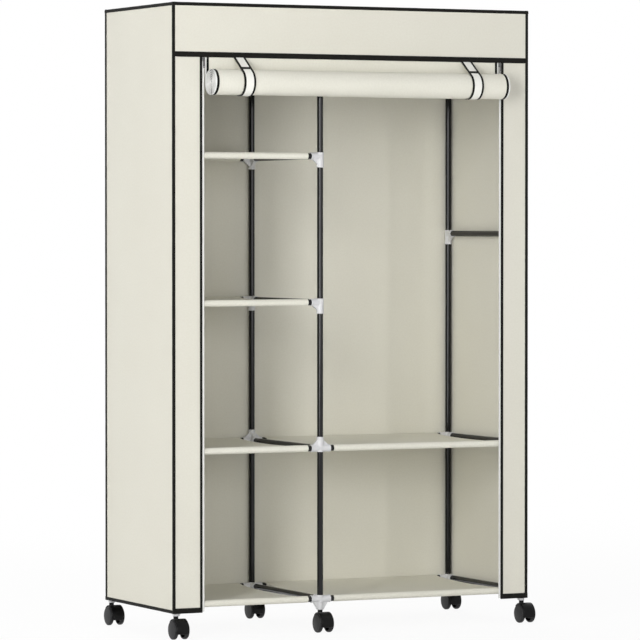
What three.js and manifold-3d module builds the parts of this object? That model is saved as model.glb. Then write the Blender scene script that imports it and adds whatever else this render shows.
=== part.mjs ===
// Portable fabric wardrobe: a push-together tube frame on six twin-wheel casters, under a sewn
// cloth cover whose front door is rolled up and held by two straps.
// Millimetres. +X is right, +Y is back, +Z is up. The origin is on the floor, under the middle of
// everything that the wardrobe reaches. Levels are counted from the bottom, places from the left.

import * as THREE from 'three';
import { mergeVertices } from 'three/addons/utils/BufferGeometryUtils.js';
import Module from 'manifold-3d';

const wasm = await Module();
wasm.setup();

// Clearances
const seatGap = 0.3;            // between two pieces that touch
const overrun = 2;              // how far a cut runs past the face that it opens

// Frame tubes
const frameWidth = 1026;        // between the axes of the outer uprights
const frameDepth = 426;         // between the axes of the front and back uprights
const leftBayWidth = 418;       // from the left uprights to the centre ones
const tubeRadius = 8;
const tubeWall = 0.8;
const tubeSides = 8;
const bearingSides = 16;        // of stems, axles and their holes, which turn in each other

// Heights of the frame
const hemHeight = 67;           // from the floor to the hem of the cover
const bottomRailRise = 21;      // from the hem to the lowest rails
const bottomBayHeight = 399;
const shelfBayHeight = 386;
const topBayHeight = 384.5;
const braceRise = 566;          // from the lowest shelf bay's rails to the side brace
const rodDrop = 182;            // from the top rails to the hanging rod

// Moulded connectors
const sleeveRadius = 9.5;
const armReach = 28;            // from the upright's axis to the mouth of an arm
const socketFloor = 10.5;       // from the upright's axis to the bottom of an arm's socket
const sleeveLongEnd = 30;
const sleeveShortEnd = 10;
const capThickness = 2;
const gussetThickness = 10;
const gussetReach = 27;         // along the arm
const gussetTip = 7;            // the gusset's height at the arm's tip
const footGussetTip = 1;        // the same on the bottom connectors, inside the arm
const gussetRise = 28.8;        // along the sleeve
const footSleeveLength = 29;    // the bottom connector, below its arms
const footSleeveRadius = 8;
const upperSeatDepth = 6;       // how far the upright sinks below the bottom arms' axis
const teeHalfLength = 15;       // the tee that carries the hanging rod

// Cloth shelves
const shelfCloth = 0.8;
const shelfInset = 38;          // from the upright's axis to the end of the sewn sleeve

// Cover
const coverCloth = 1;
const coverSlack = 1.5;         // between the connectors and the cover's side walls
const flapWidth = 82;           // from the cover's corner to the opening
const zipTapeWidth = 6.5;       // of the white tape beside the flap
const valanceHeight = 141;
const bindingThickness = 0.8;
const cornerBinding = 8;        // width on each side of a corner
const hemBinding = 7;
const frontHemBinding = 13;
const openingBinding = 5;

// Rolled door
const doorRollRadius = 34.5;    // the outermost turn, at the middle of its cloth
const doorCoreRadius = 3;
const doorSideGap = 3;          // between the roll's end and the tape beside it
const doorHang = 65;            // from the valance's hem down to the roll's axis
const rollStepsPerTurn = 16;

// Straps
const strapWidth = 33;
const strapThickness = 1.5;
const strapInset = 97.5;        // from the end of the rolled door to the middle of a strap
const strapTail = 18;           // what is sewn behind the valance

// Casters
const wheelRadius = 25;
const casterWidth = 45;         // over both wheels
const wheelThickness = 12;      // of each wheel
const wheelSides = 18;
const casterTrail = 19;         // from the swivel axis to the axle
const wheelGap = 1.2;           // between the tread and the hood
const hoodThickness = 2.8;
const hoodWidth = 35;           // the treads' outer edges show beside it
const webThickness = 7;
const hubGap = 0.5;             // between the hood's hub and a wheel
const axleRadius = 4;
const hubRadius = 8;
const faceDome = 1.2;           // how far the middle of a wheel's face stands out
const treadRounding = 3.5;      // of a tread's two edges
const roundingShare = 0.3;      // how deep the middle of a rounded edge lies
const collarRadius = 6.5;
const stemRadius = 5.5;
const stemLength = 19.5;
const hoodStartAngle = 40;      // degrees round the axle, from the back
const hoodEndAngle = 200;
const hoodSteps = 8;

// Zipper sliders and their pulls
const sliderHeight = 11;
const sliderLip = 5.8;          // how far its two plates reach over the tape
const sliderWeb = 2;
const sliderFront = 1.8;
const sliderBack = 1.2;
const bridgeWidth = 2;
const bridgeReach = 3.4;
const bridgeLeg = 2;
const bridgeRoom = 1.9;         // under the bridge, for the pull's bar
const pullBarRadius = 0.6;
const pullLength = 22;
const pullWidth = 5.4;
const pullThickness = 1;
const pullEyeLength = 5.6;

// Places that follow from the sizes above
const bottomLevel = hemHeight + bottomRailRise;
const firstLevel = bottomLevel + bottomBayHeight;
const secondLevel = firstLevel + shelfBayHeight;
const thirdLevel = secondLevel + shelfBayHeight;
const topLevel = thirdLevel + topBayHeight;
const shelfLevels = { bottom: bottomLevel, first: firstLevel, second: secondLevel, third: thirdLevel };
const wideShelves = ['bottom', 'first'];
const braceLevel = firstLevel + braceRise;
const rodLevel = topLevel - rodDrop;

const sideX = frameWidth / 2;
const frontY = -frameDepth / 2;
const backY = frameDepth / 2;
const centreX = leftBayWidth - sideX;
const columns = { left: -sideX, centre: centreX, right: sideX };

const coverHalfWidth = sideX + sleeveRadius + coverSlack + coverCloth;
const coverHalfDepth = backY + sleeveRadius + coverSlack + coverCloth;
const coverTop = topLevel + sleeveShortEnd + seatGap + coverCloth;
const wallTop = coverTop - coverCloth - seatGap;
const valanceBottom = coverTop - valanceHeight;
const clothGap = coverCloth + seatGap;
const openingHalfWidth = coverHalfWidth - flapWidth;
const tapeEdge = openingHalfWidth - zipTapeWidth;
const frontClothY = -coverHalfDepth + coverCloth / 2;

const rollAxisY = frontClothY - doorRollRadius;
const rollAxisZ = valanceBottom - doorHang;
const rollHalfLength = tapeEdge - doorSideGap;
const doorLength = rollAxisZ - hemHeight;
const rollPitch = Math.PI * (doorRollRadius ** 2 - doorCoreRadius ** 2) / doorLength;
const rollTurns = (doorRollRadius - doorCoreRadius) / rollPitch;

const quarterTurn = Math.PI / 2;
const X = new THREE.Vector3(1, 0, 0);
const Y = new THREE.Vector3(0, 1, 0);
const Z = new THREE.Vector3(0, 0, 1);

// Finishes
const finishes = {
  tube: { color: 0x17171a, roughness: 0.28, metalness: 0.45 },
  connector: { color: 0xe2e3e6, roughness: 0.42, metalness: 0 },
  shelfCloth: { color: 0xe6e4d8, roughness: 0.95, metalness: 0 },
  coverCloth: { color: 0xe1dfd2, roughness: 0.96, metalness: 0 },
  doorCloth: { color: 0xe8e6da, roughness: 0.95, metalness: 0 },
  strap: { color: 0xf0f0ec, roughness: 0.9, metalness: 0 },
  binding: { color: 0x24241f, roughness: 0.9, metalness: 0 },
  casterHood: { color: 0x1d1d1f, roughness: 0.4, metalness: 0 },
  casterWheel: { color: 0x2b2b2d, roughness: 0.5, metalness: 0 },
  zipper: { color: 0x8c8c8a, roughness: 0.35, metalness: 0.8 },
};

const wardrobe = new THREE.Group();

// A closed geometry as a solid that can be joined and cut
function solidOf(geometry) {
  geometry.deleteAttribute('normal');
  geometry.deleteAttribute('uv');
  const merged = mergeVertices(geometry);
  return new wasm.Manifold(new wasm.Mesh({
    numProp: 3,
    vertProperties: Float32Array.from(merged.attributes.position.array),
    triVerts: Uint32Array.from(merged.index.array),
  }));
}

function join(solids) {
  return solids.reduce((whole, solid) => whole.add(solid));
}

function cut(solid, tools) {
  return tools.reduce((rest, tool) => rest.subtract(tool), solid);
}

// A solid as a named piece of the wardrobe
function addPiece(name, finish, solid) {
  const { numProp, vertProperties, triVerts } = solid.getMesh();
  const geometry = new THREE.BufferGeometry();
  const positions = new Float32Array(vertProperties.length / numProp * 3);
  positions.forEach((_, index) => {
    positions[index] = vertProperties[Math.floor(index / 3) * numProp + index % 3];
  });
  geometry.setAttribute('position', new THREE.BufferAttribute(positions, 3));
  geometry.setIndex(new THREE.BufferAttribute(Uint32Array.from(triVerts), 1));
  geometry.computeVertexNormals();
  const mesh = new THREE.Mesh(geometry, new THREE.MeshStandardMaterial(finishes[finish]));
  mesh.name = name;
  wardrobe.add(mesh);
}

// A round bar along an axis, between two places on that axis; where gives its other two places
function bar(axis, radius, start, end, where, sides = tubeSides) {
  const geometry = new THREE.CylinderGeometry(radius, radius, Math.abs(end - start), sides);
  if (axis === 'x') geometry.rotateZ(-quarterTurn);
  if (axis === 'z') geometry.rotateX(quarterTurn);
  const middle = { ...where, [axis]: (start + end) / 2 };
  geometry.translate(middle.x, middle.y, middle.z);
  return solidOf(geometry);
}

// A box between two opposite corners, whose own numbers its corners keep
function block(low, high) {
  const geometry = new THREE.BoxGeometry(1, 1, 1);
  const corners = geometry.attributes.position.array;
  corners.forEach((value, index) => {
    corners[index] = value < 0 ? low[index % 3] : high[index % 3];
  });
  return solidOf(geometry);
}

// A plate with a straight-sided outline in one plane, as thick as from start to end across it
function plate(plane, outline, start, end) {
  const shape = new THREE.Shape(outline.map(([across, up]) => new THREE.Vector2(across, up)));
  const geometry = new THREE.ExtrudeGeometry(shape, { depth: end - start, bevelEnabled: false });
  geometry.translate(0, 0, start);
  const turned = new THREE.Matrix4();
  if (plane === 'yz') turned.makeBasis(Y, Z, X);
  if (plane === 'zx') turned.makeBasis(Z, X, Y);
  geometry.applyMatrix4(turned);
  return solidOf(geometry);
}

// The triangular web between an arm and the upright's sleeve; side and turn are 1 or -1
function gusset(axis, place, side, turn, tip, rise) {
  const half = gussetThickness / 2;
  const profile = [[0, 0], [gussetReach, 0], [gussetReach, tip], [0, rise]];
  if (axis === 'y') {
    const outline = profile.map(([out, up]) => [place.y + side * out, place.z + turn * up]);
    return plate('yz', side * turn > 0 ? outline : outline.reverse(), place.x - half, place.x + half);
  }
  const outline = profile.map(([out, up]) => [place.z + turn * up, place.x + side * out]);
  return plate('zx', side * turn > 0 ? outline.reverse() : outline, place.y - half, place.y + half);
}

// One moulded connector on an upright: what it adds and what is cut out of it.
// xArms lists the sides, 1 or -1, that hold a cross rail; ySide is where its depth tube goes.
// kind is 'foot' over a caster, 'cap' at the top of the upright, or 'slip' in between;
// turn is 1 where the long end of the sleeve points up, or -1.
function connector(place, xArms, ySide, kind, turn) {
  const foot = kind === 'foot';
  const longEnd = foot ? footSleeveLength : sleeveLongEnd;
  const low = place.z - (turn > 0 ? sleeveShortEnd : longEnd);
  const high = place.z + (turn > 0 ? longEnd : sleeveShortEnd);
  const upperSleeveLow = foot ? place.z - sleeveRadius : low;
  const solids = [bar('z', sleeveRadius, upperSleeveLow, high, place)];
  if (foot) solids.push(bar('z', footSleeveRadius, low, place.z, place));
  const rise = foot ? footSleeveLength : gussetRise;
  const tip = foot ? footGussetTip : gussetTip;
  for (const side of xArms) {
    solids.push(bar('x', sleeveRadius, place.x, place.x + side * armReach, place));
    solids.push(gusset('x', place, side, turn, tip, rise));
  }
  solids.push(bar('y', sleeveRadius, place.y, place.y + ySide * armReach, place));
  solids.push(gusset('y', place, ySide, turn, tip, rise));

  const boreRadius = tubeRadius + seatGap;
  const boreLow = foot ? place.z - upperSeatDepth : low - overrun;
  const boreHigh = kind === 'cap' ? high - capThickness : high + overrun;
  const cuts = [bar('z', boreRadius, boreLow, boreHigh, place)];
  if (foot) {
    const socketTop = low + stemLength + seatGap + seatGap;
    cuts.push(bar('z', stemRadius + seatGap, low - overrun, socketTop, place, bearingSides));
  }
  for (const side of xArms) {
    const start = place.x + side * socketFloor;
    cuts.push(bar('x', boreRadius, start, place.x + side * (armReach + overrun), place));
  }
  return { solids, cuts };
}

// A depth tube with the connector at each of its ends, open from one upright's seat to the other
function rung(name, x, z, xArms, kind = 'slip', turn = -1, tee = 0) {
  const front = { x, y: frontY, z };
  const back = { x, y: backY, z };
  const ends = [connector(front, xArms, 1, kind, turn), connector(back, xArms, -1, kind, turn)];
  const middle = { x, y: 0, z };
  const solids = ends.flatMap((end) => end.solids);
  const cuts = ends.flatMap((end) => end.cuts);
  solids.push(bar('y', tubeRadius, frontY, backY, middle));
  if (tee !== 0) {
    solids.push(bar('y', sleeveRadius, -teeHalfLength, teeHalfLength, middle));
    solids.push(bar('x', sleeveRadius, x, x + tee * armReach, middle));
    const mouth = x + tee * (armReach + overrun);
    cuts.push(bar('x', tubeRadius + seatGap, x + tee * socketFloor, mouth, middle));
  }
  cuts.push(bar('y', tubeRadius - tubeWall, frontY, backY, middle));
  addPiece(name, 'connector', cut(join(solids), cuts));
}

// A plain length of tube, open at both ends
function tube(axis, start, end, where) {
  const bore = bar(axis, tubeRadius - tubeWall, start - overrun, end + overrun, where);
  return cut(bar(axis, tubeRadius, start, end, where), [bore]);
}

// Where a cross rail starts and ends between two uprights: on the floors of the arms' sockets
function railSpan(fromX, toX) {
  return [fromX + socketFloor + seatGap, toX - socketFloor - seatGap];
}

function addUprights() {
  const low = bottomLevel - upperSeatDepth + seatGap;
  const high = topLevel + sleeveShortEnd - capThickness - seatGap;
  for (const [column, x] of Object.entries(columns)) {
    addPiece(`upright_${column}_front`, 'tube', tube('z', low, high, { x, y: frontY }));
    addPiece(`upright_${column}_back`, 'tube', tube('z', low, high, { x, y: backY }));
  }
}

// Depth tubes and connectors. The long end of the sleeve hangs down, but at the first level it
// stands up in the left and centre columns, where the connectors are turned over.
function addRungs() {
  const leftArms = { left: [1], centre: [-1], right: [] };
  const wideArms = { left: [1], centre: [-1, 1], right: [-1] };
  const firstTurn = { left: 1, centre: 1, right: -1 };
  for (const [column, x] of Object.entries(columns)) {
    rung(`rung_${column}_bottom`, x, bottomLevel, wideArms[column], 'foot', -1);
    rung(`rung_${column}_first`, x, firstLevel, wideArms[column], 'slip', firstTurn[column]);
    if (column !== 'right') {
      rung(`rung_${column}_second`, x, secondLevel, leftArms[column]);
      rung(`rung_${column}_third`, x, thirdLevel, leftArms[column]);
    }
    rung(`rung_${column}_top`, x, topLevel, wideArms[column], 'cap', -1);
  }
  rung('rung_right_brace', columns.right, braceLevel, []);
  rung('rung_centre_rod', columns.centre, rodLevel, [], 'slip', -1, 1);
  rung('rung_right_rod', columns.right, rodLevel, [], 'slip', -1, -1);
}

function addTopRailsAndRod() {
  const bays = { left: [columns.left, columns.centre], right: [columns.centre, columns.right] };
  for (const [bay, [fromX, toX]] of Object.entries(bays)) {
    const [start, end] = railSpan(fromX, toX);
    addPiece(`top_rail_${bay}_front`, 'tube', tube('x', start, end, { y: frontY, z: topLevel }));
    addPiece(`top_rail_${bay}_back`, 'tube', tube('x', start, end, { y: backY, z: topLevel }));
  }
  const [start, end] = railSpan(columns.centre, columns.right);
  addPiece('hanging_rod', 'tube', tube('x', start, end, { y: 0, z: rodLevel }));
}

// A cloth deck with a sewn sleeve on its front and back rails; the rails stick out at both ends
function shelf(name, fromX, toX, z) {
  const [start, end] = railSpan(fromX, toX);
  const clothStart = fromX + shelfInset;
  const clothEnd = toX - shelfInset;
  const deckTop = z + tubeRadius + shelfCloth;
  const solids = [block([clothStart, frontY, deckTop - shelfCloth], [clothEnd, backY, deckTop])];
  const bores = [];
  for (const y of [frontY, backY]) {
    solids.push(bar('x', tubeRadius + shelfCloth, clothStart, clothEnd, { y, z }));
    solids.push(bar('x', tubeRadius, start, end, { y, z }));
    bores.push(bar('x', tubeRadius - tubeWall, start - overrun, end + overrun, { y, z }));
  }
  addPiece(name, 'shelfCloth', cut(join(solids), bores));
}

function addShelves() {
  for (const [level, z] of Object.entries(shelfLevels)) {
    shelf(`shelf_left_${level}`, columns.left, columns.centre, z);
    if (wideShelves.includes(level)) shelf(`shelf_right_${level}`, columns.centre, columns.right, z);
  }
}

// The cover's sewn panels, each a flat piece of cloth
function addCoverPanels() {
  const outerX = coverHalfWidth;
  const outerY = coverHalfDepth;
  const innerX = outerX - clothGap;
  const inside = outerY - coverCloth;
  const flapTop = valanceBottom - seatGap;
  const panels = {
    cover_roof: [[-outerX, -outerY, coverTop - coverCloth], [outerX, outerY, coverTop]],
    cover_back: [[-innerX, inside, hemHeight], [innerX, outerY, wallTop]],
    cover_side_left: [[-outerX, -outerY, hemHeight], [coverCloth - outerX, outerY, wallTop]],
    cover_side_right: [[outerX - coverCloth, -outerY, hemHeight], [outerX, outerY, wallTop]],
    valance: [[-innerX, -outerY, valanceBottom], [innerX, -inside, wallTop]],
    front_flap_left: [[-innerX, -outerY, hemHeight], [-tapeEdge, -inside, flapTop]],
    front_flap_right: [[tapeEdge, -outerY, hemHeight], [innerX, -inside, flapTop]],
  };
  for (const [name, [low, high]] of Object.entries(panels)) {
    addPiece(name, 'coverCloth', block(low, high));
  }
}

// The dark tape that binds every edge of the cover: a thin skin round the whole cover, in which
// each panel is a window and the doorway is open down through the hem
function addBinding() {
  const near = seatGap;
  const far = seatGap + bindingThickness;
  const wide = coverHalfWidth;
  const deep = coverHalfDepth;
  const skin = cut(
    block([-wide - far, -deep - far, hemHeight - far], [wide + far, deep + far, coverTop + far]),
    [block([-wide - near, -deep - near, hemHeight - near], [wide + near, deep + near, coverTop + near])],
  );
  const past = far + overrun;
  const windowX = wide - cornerBinding;
  const windowY = deep - cornerBinding;
  const edgeX = openingHalfWidth + openingBinding;
  const wallLow = hemHeight + hemBinding;
  const wallHigh = coverTop - cornerBinding;
  const valanceLow = valanceBottom + frontHemBinding;
  const flapLow = hemHeight + frontHemBinding;
  const roof = block([-windowX, -windowY, wallHigh], [windowX, windowY, coverTop + past]);
  const floor = block(
    [coverCloth - wide, coverCloth - deep, hemHeight - past],
    [wide - coverCloth, deep - coverCloth, wallLow],
  );
  const sides = block([-wide - past, -windowY, wallLow], [wide + past, windowY, wallHigh]);
  const back = block([-windowX, 0, wallLow], [windowX, deep + past, wallHigh]);
  const valance = block([-windowX, -deep - past, valanceLow], [windowX, 0, wallHigh]);
  const doorway = block(
    [-openingHalfWidth, -deep - past, hemHeight - past],
    [openingHalfWidth, -windowY, valanceBottom],
  );
  const flaps = [
    block([-windowX, -deep - past, flapLow], [-edgeX, 0, valanceBottom]),
    block([edgeX, -deep - past, flapLow], [windowX, 0, valanceBottom]),
  ];
  addPiece('cover_binding', 'binding', cut(skin, [roof, floor, sides, back, valance, doorway, ...flaps]));
}

// The rolled door winds from the back of the roll, where angle is 0, down, forward, up and in
function rollRadius(angle) {
  return doorRollRadius - rollPitch * angle / (2 * Math.PI);
}

function rollPoint(angle, radius) {
  return [rollAxisY + radius * Math.cos(angle), rollAxisZ - radius * Math.sin(angle)];
}

// The least distance between two turns, measured from each point to the next turn's points
function leastTurnGap(outer, inner) {
  let least = Infinity;
  for (let index = 0; index + rollStepsPerTurn < inner.length; index += 1) {
    const [y, z] = inner[index];
    for (let near = -1; near <= 1; near += 1) {
      const other = outer[Math.min(index + rollStepsPerTurn + near, outer.length - 1)];
      least = Math.min(least, Math.hypot(y - other[0], z - other[1]));
    }
  }
  return least;
}

function addDoor() {
  const half = coverCloth / 2;
  const steps = Math.round(rollTurns * rollStepsPerTurn);
  const outer = [];
  const inner = [];
  for (let step = 0; step <= steps; step += 1) {
    const angle = step / rollStepsPerTurn * 2 * Math.PI;
    outer.push(rollPoint(angle, rollRadius(angle) + half));
    inner.push(rollPoint(angle, rollRadius(angle) - half));
  }
  console.log(`least gap between the door's turns: ${leastTurnGap(outer, inner).toFixed(2)} mm`);
  const top = valanceBottom - seatGap;
  const outline = [[frontClothY + half, top], [frontClothY - half, top], ...inner, ...outer.reverse()];
  addPiece('door_panel', 'doorCloth', plate('yz', outline, -rollHalfLength, rollHalfLength));
}

// A strap hangs from the valance, lies round the rolled door and goes up again behind it
function addStraps() {
  const half = strapThickness / 2;
  const clear = coverCloth / 2 + seatGap + half;
  const hookY = -coverHalfDepth - seatGap - half;
  const hookZ = valanceBottom - seatGap;
  const away = Math.hypot(hookY - rollAxisY, hookZ - rollAxisZ);
  const lift = Math.atan2(hookZ - rollAxisZ, hookY - rollAxisY);
  const tangentAngle = 2 * Math.PI - lift - Math.acos((rollRadius(Math.PI) + clear) / away);
  const stepAngle = 2 * Math.PI / rollStepsPerTurn;
  const wholeSteps = Math.floor(tangentAngle / stepAngle);
  const angles = [...Array.from({ length: wholeSteps + 1 }, (_, step) => step * stepAngle), tangentAngle];
  const offsetPoint = (angle, extra) => rollPoint(angle, rollRadius(angle) + clear + extra);
  const slope = new THREE.Vector2(...offsetPoint(tangentAngle, 0)).sub(new THREE.Vector2(hookY, hookZ));
  const across = new THREE.Vector2(slope.y, -slope.x).normalize().multiplyScalar(half);
  const tailTop = valanceBottom + strapTail;
  const tailY = rollAxisY + rollRadius(0) + clear;
  const outline = [
    [tailY + half, tailTop],
    [tailY - half, tailTop],
    ...angles.map((angle) => offsetPoint(angle, -half)),
    [hookY - across.x, hookZ - across.y],
    [hookY + across.x, hookZ + across.y],
    ...angles.map((angle) => offsetPoint(angle, half)).reverse(),
  ];
  const strapX = rollHalfLength - strapInset;
  const places = { left: -strapX, right: strapX };
  for (const [side, x] of Object.entries(places)) {
    addPiece(`door_strap_${side}`, 'strap', plate('yz', outline, x - strapWidth / 2, x + strapWidth / 2));
  }
}

function arc(centre, radius, startDegrees, endDegrees, steps) {
  return Array.from({ length: steps + 1 }, (_, step) => {
    const angle = THREE.MathUtils.degToRad(startDegrees + (endDegrees - startDegrees) * step / steps);
    return [centre.y + radius * Math.cos(angle), centre.z + radius * Math.sin(angle)];
  });
}

// The swivelling part of a caster: a fender over both wheels, the web and hub between them and the
// stem
function casterHood(name, x, y) {
  const axle = { x, y: y - casterTrail, z: wheelRadius };
  const swivel = { x, y };
  const innerRadius = wheelRadius / Math.cos(Math.PI / wheelSides) + wheelGap;
  const outerRadius = innerRadius + hoodThickness;
  const outside = arc(axle, outerRadius, hoodStartAngle, hoodEndAngle, hoodSteps);
  const fenderOutline = [...outside, ...arc(axle, innerRadius, hoodEndAngle, hoodStartAngle, hoodSteps)];
  const fender = plate('yz', fenderOutline, x - hoodWidth / 2, x + hoodWidth / 2);
  const webRadius = outerRadius - hoodThickness / 2;
  const webOutline = [...arc(axle, webRadius, hoodStartAngle, hoodEndAngle, hoodSteps), [axle.y, axle.z]];
  const web = plate('yz', webOutline, x - webThickness / 2, x + webThickness / 2);
  const hubHalf = casterWidth / 2 - wheelThickness - hubGap;
  const hub = bar('x', hubRadius, x - hubHalf, x + hubHalf, axle);
  const collarTop = bottomLevel - footSleeveLength - seatGap;
  const collarLow = axle.z + Math.sqrt(innerRadius ** 2 - (casterTrail - collarRadius) ** 2);
  const collar = bar('z', collarRadius, collarLow - hoodThickness / 2, collarTop, swivel, bearingSides);
  const stem = bar('z', stemRadius, collarLow, collarTop + stemLength, swivel, bearingSides);
  const holeHalf = hubHalf + overrun;
  const axleHole = bar('x', axleRadius + seatGap, x - holeHalf, x + holeHalf, axle, bearingSides);
  addPiece(name, 'casterHood', cut(join([fender, web, hub, collar, stem]), [axleHole]));
}

// Two wheels with domed faces and rounded treads on one axle, turned from one profile
function casterWheels(name, x, y) {
  const flatRadius = wheelRadius / Math.cos(Math.PI / wheelSides);
  const face = casterWidth / 2;
  const rim = face - faceDome;
  const inside = face - wheelThickness;
  const roundingMiddle = treadRounding * roundingShare;
  const side = [
    [0, face],
    [flatRadius - treadRounding, rim],
    [flatRadius - roundingMiddle, rim - roundingMiddle],
    [flatRadius, rim - treadRounding],
    [flatRadius, inside + treadRounding],
    [flatRadius - treadRounding, inside],
    [axleRadius, inside],
  ];
  const profile = [...side, ...side.map(([radius, along]) => [radius, -along]).reverse()];
  const points = profile.map(([radius, along]) => new THREE.Vector2(radius, -along));
  const geometry = new THREE.LatheGeometry(points, wheelSides);
  geometry.rotateZ(-quarterTurn);
  geometry.rotateX(Math.PI / wheelSides);
  geometry.translate(x, y - casterTrail, wheelRadius);
  addPiece(name, 'casterWheel', solidOf(geometry));
}

function addCasters() {
  for (const [column, x] of Object.entries(columns)) {
    for (const [end, y] of Object.entries({ front: frontY, back: backY })) {
      casterHood(`caster_hood_${column}_${end}`, x, y);
      casterWheels(`caster_wheels_${column}_${end}`, x, y);
    }
  }
}

// A zipper slider clasps the tape beside the opening; its pull hangs by a bar under a bridge.
// side is -1 at the left end of the opening and 1 at the right
function addSlider(name, side) {
  const spanX = (from, to) => [Math.min(side * from, side * to), Math.max(side * from, side * to)];
  const top = valanceBottom - seatGap - seatGap;
  const low = top - sliderHeight;
  const webOuter = tapeEdge - seatGap;
  const [plateLow, plateHigh] = spanX(webOuter - sliderWeb, tapeEdge + sliderLip);
  const [webLow, webHigh] = spanX(webOuter - sliderWeb, webOuter);
  const tapeFront = -coverHalfDepth - seatGap;
  const tapeBack = coverCloth - coverHalfDepth + seatGap;
  const frontFace = tapeFront - sliderFront;
  const backFace = tapeBack + sliderBack;
  const middleX = (plateLow + plateHigh) / 2;
  const middleZ = (top + low) / 2;
  const bridgeHalf = bridgeWidth / 2;
  const bridgeLow = middleZ - sliderHeight / 2 + bridgeLeg / 2;
  const bridgeHigh = middleZ + sliderHeight / 2 - bridgeLeg / 2;
  const bridge = block(
    [middleX - bridgeHalf, frontFace - bridgeReach, bridgeLow],
    [middleX + bridgeHalf, frontFace + seatGap, bridgeHigh],
  );
  const room = block(
    [middleX - bridgeWidth, frontFace - bridgeRoom, bridgeLow + bridgeLeg],
    [middleX + bridgeWidth, frontFace, bridgeHigh - bridgeLeg],
  );
  const body = join([
    block([plateLow, frontFace, low], [plateHigh, tapeFront, top]),
    block([plateLow, tapeBack, low], [plateHigh, backFace, top]),
    block([webLow, frontFace, low], [webHigh, backFace, top]),
    cut(bridge, [room]),
  ]);
  addPiece(`zipper_slider_${name}`, 'zipper', body);

  const pivotY = frontFace - bridgeRoom / 2;
  const half = pullThickness / 2;
  const pullHalf = pullWidth / 2;
  const pull = block(
    [middleX - pullHalf, pivotY - half, middleZ - pullLength],
    [middleX + pullHalf, pivotY + half, middleZ + half],
  );
  const eyeHalf = bridgeHalf + seatGap;
  const eye = block(
    [middleX - eyeHalf, pivotY - pullThickness, middleZ - pullEyeLength],
    [middleX + eyeHalf, pivotY + pullThickness, middleZ + pullThickness],
  );
  const pivot = { y: pivotY, z: middleZ };
  const pullBar = bar('x', pullBarRadius, middleX - pullHalf, middleX + pullHalf, pivot);
  addPiece(`zipper_pull_${name}`, 'zipper', cut(pull, [eye]).add(pullBar));
}

addUprights();
addRungs();
addTopRailsAndRod();
addShelves();
addCoverPanels();
addBinding();
addDoor();
addStraps();
addCasters();
addSlider('left', -1);
addSlider('right', 1);

// The whole stands with its middle, from the straps on the roll to the binding at the back, at y = 0
const strapReach = rollAxisY - rollRadius(Math.PI) - coverCloth / 2 - seatGap - strapThickness;
const backReach = coverHalfDepth + seatGap + bindingThickness;
wardrobe.position.y = -(strapReach + backReach) / 2;

export default wardrobe;
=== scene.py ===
"""Looks of a portable fabric wardrobe: steel tubes in moulded connectors on twin-wheel casters, under
a sewn non-woven cover whose door is rolled up and held by two straps. Metres, +X right, +Y back, +Z up."""

import math

import bmesh
import bpy
import numpy as np
from mathutils import Matrix, Vector


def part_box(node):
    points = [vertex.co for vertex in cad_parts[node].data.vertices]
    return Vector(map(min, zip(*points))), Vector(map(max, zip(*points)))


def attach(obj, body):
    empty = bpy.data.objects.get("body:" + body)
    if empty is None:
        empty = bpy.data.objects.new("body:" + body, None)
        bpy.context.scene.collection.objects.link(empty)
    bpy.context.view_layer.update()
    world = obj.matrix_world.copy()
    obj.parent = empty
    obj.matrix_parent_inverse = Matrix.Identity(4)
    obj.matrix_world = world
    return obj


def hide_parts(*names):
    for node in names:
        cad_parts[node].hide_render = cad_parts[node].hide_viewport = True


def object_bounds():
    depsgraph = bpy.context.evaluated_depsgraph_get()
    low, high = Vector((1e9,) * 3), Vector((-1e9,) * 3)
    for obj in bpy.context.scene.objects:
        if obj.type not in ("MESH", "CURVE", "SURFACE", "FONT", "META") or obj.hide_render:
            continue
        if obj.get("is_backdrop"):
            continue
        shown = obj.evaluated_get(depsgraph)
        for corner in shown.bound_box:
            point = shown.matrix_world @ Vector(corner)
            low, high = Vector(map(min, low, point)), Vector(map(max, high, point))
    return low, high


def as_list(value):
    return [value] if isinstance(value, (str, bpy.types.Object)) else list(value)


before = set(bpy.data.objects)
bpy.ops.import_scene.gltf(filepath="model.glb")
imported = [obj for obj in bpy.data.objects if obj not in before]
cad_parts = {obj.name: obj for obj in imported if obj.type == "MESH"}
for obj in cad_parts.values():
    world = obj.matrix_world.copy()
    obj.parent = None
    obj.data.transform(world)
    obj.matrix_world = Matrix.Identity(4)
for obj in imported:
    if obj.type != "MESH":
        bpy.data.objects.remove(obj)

cad_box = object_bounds()
MM = 0.001
X, Y, Z = Vector((1, 0, 0)), Vector((0, 1, 0)), Vector((0, 0, 1))
AXES = {"x": X, "y": Y, "z": Z}
ORIGIN = (0, 0, 0)
ROOT = "frame_and_cover"
SIDES = (("left", -1), ("right", 1))

# Camera: the photograph's place, found from the corners of the cover
camera_place = (-4.82397, -9.84965, 1.08098)
camera_tilt = 88.6436
camera_turn = -26.057
camera_lens = 229.08

# Tubes and connectors, where the frame doesn't give their sizes
tube_radius = 8 * MM
tube_wall = 0.8 * MM
cut_edge = 0.3 * MM
sleeve_radius = 9.5 * MM
socket_bore = tube_radius + 0.1 * MM
collar_height = 1.0 * MM
collar_length = 2.6 * MM
arm_reach = 28 * MM
socket_floor = 10.5 * MM
sleeve_long = 30 * MM
sleeve_short = 10 * MM
foot_length = 29 * MM
foot_radius = 8 * MM
foot_seat = 6 * MM
foot_web_tip = 1 * MM
web_tip = 7 * MM
web_thickness = 10 * MM
web_setback = 3 * MM
cap_wall = 2 * MM
stem_socket_radius = 5.8 * MM
stem_socket_depth = 20 * MM
tee_half = 15 * MM
voxel = 0.7 * MM
overrun = 2 * MM

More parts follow.
